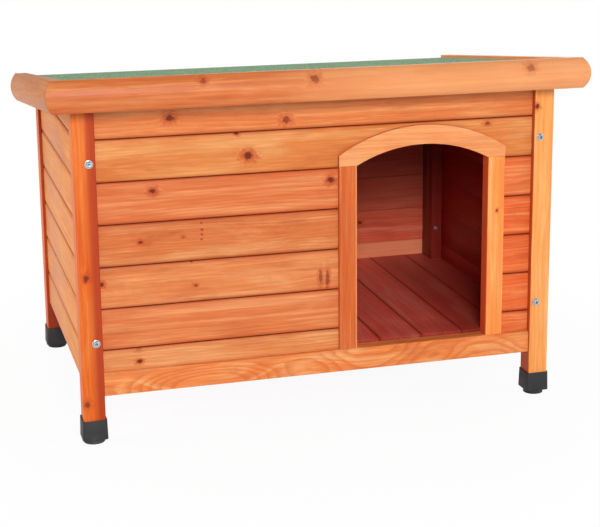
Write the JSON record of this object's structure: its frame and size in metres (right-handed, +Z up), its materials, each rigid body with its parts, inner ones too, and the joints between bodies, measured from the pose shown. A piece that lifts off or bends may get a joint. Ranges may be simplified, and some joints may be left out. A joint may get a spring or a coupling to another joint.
{
  "type": "dog house",
  "caption": "Flat-roofed timber dog house on capped feet, with an arched doorway right of the middle, tongued board walls and a green felted roof that hinges open at the rear.",
  "frame": {"origin": "on the ground, under the middle of the shut roof's outline", "axes": "+Z up, +X to the right as one faces the doorway, +Y from the front wall to the rear wall"},
  "size_m": [1.04, 0.72, 0.695],
  "materials": {
    "front_board_wood": "glazed softwood, orange-brown, satin, knots and straight grain",
    "frame_wood": "glazed softwood, orange-brown, satin, planed with eased edges",
    "wall_board_wood": "glazed softwood, a little paler, satin",
    "inner_wood": "glazed softwood, red-brown inside the house, matt",
    "roofing_felt": "bitumen roofing felt with fine green mineral granules, rough",
    "cap_plastic": "moulded charcoal plastic, matt",
    "zinc_steel": "bright zinc-plated steel"
  },
  "bodies": {
    "house": {"arched_head": "frame_wood", "bolt_left_lower": "zinc_steel", "bolt_left_upper": "zinc_steel", "bolt_right_lower": "zinc_steel", "bolt_right_upper": "zinc_steel", "corner_batten_front_left": "inner_wood", "corner_batten_front_right": "inner_wood", "corner_batten_rear_left": "inner_wood", "corner_batten_rear_right": "inner_wood", "door_jamb_left": "frame_wood", "door_jamb_right": "frame_wood", "floor": "inner_wood", "floor_ledger_left": "inner_wood", "floor_ledger_right": "inner_wood", "foot_cap_front_left": "cap_plastic", "foot_cap_front_right": "cap_plastic", "foot_cap_rear_left": "cap_plastic", "foot_cap_rear_right": "cap_plastic", "front_board_1_left": "front_board_wood", "front_board_2_left": "front_board_wood", "front_board_3_left": "front_board_wood", "front_board_4_left": "front_board_wood", "front_board_5_left": "front_board_wood", "front_board_6": "front_board_wood", "front_board_7": "front_board_wood", "front_boards_right": "front_board_wood", "front_rail": "frame_wood", "hinge_pin_left": "zinc_steel", "hinge_pin_right": "zinc_steel", "hinge_wall_leaf_left": "zinc_steel", "hinge_wall_leaf_right": "zinc_steel", "left_wall_board_1": "wall_board_wood", "left_wall_board_2": "wall_board_wood", "left_wall_board_3": "wall_board_wood", "left_wall_board_4": "wall_board_wood", "left_wall_board_5": "wall_board_wood", "left_wall_board_6": "wall_board_wood", "left_wall_board_7": "wall_board_wood", "post_front_left": "frame_wood", "post_front_right": "frame_wood", "post_rear_left": "frame_wood", "post_rear_right": "frame_wood", "rear_wall": "wall_board_wood", "right_wall": "wall_board_wood", "stay_stud": "zinc_steel"},
    "roof": {"hinge_roof_leaf_left": "zinc_steel", "hinge_roof_leaf_right": "zinc_steel", "roof_cleat_left": "inner_wood", "roof_cleat_right": "inner_wood", "roof_deck": "inner_wood", "roof_felt": "roofing_felt", "roof_trim_front": "frame_wood", "roof_trim_left": "frame_wood", "roof_trim_right": "frame_wood", "stay_pivot": "zinc_steel"},
    "stay_arm": {"stay_arm": "zinc_steel"},
    "foot_front_left": {"glide_front_left": "cap_plastic"},
    "foot_front_right": {"glide_front_right": "cap_plastic"},
    "foot_rear_left": {"glide_rear_left": "cap_plastic"},
    "foot_rear_right": {"glide_rear_right": "cap_plastic"}
  },
  "joints": [
    {"name": "roof_hinge", "type": "hinge", "parent": "house", "child": "roof", "pos_m": [0, 0.3415, 0.59217], "axis": [-1, 0, 0], "range_deg": [0, 88]},
    {"name": "stay_swing", "type": "hinge", "parent": "roof", "child": "stay_arm", "pos_m": [-0.428, 0.17193, 0.60429], "axis": [-1, 0, 0], "range_deg": [-44, 0]},
    {"name": "foot_front_left_screw", "type": "slide", "parent": "house", "child": "foot_front_left", "axis": [0, 0, -1], "range_m": [0, 0.02]},
    {"name": "foot_front_right_screw", "type": "slide", "parent": "house", "child": "foot_front_right", "axis": [0, 0, -1], "range_m": [0, 0.02]},
    {"name": "foot_rear_left_screw", "type": "slide", "parent": "house", "child": "foot_rear_left", "axis": [0, 0, -1], "range_m": [0, 0.02]},
    {"name": "foot_rear_right_screw", "type": "slide", "parent": "house", "child": "foot_rear_right", "axis": [0, 0, -1], "range_m": [0, 0.02]}
  ],
  "couplings": [
    {"joint": "stay_swing", "follows": "roof_hinge", "ratio": -0.5}
  ]
}
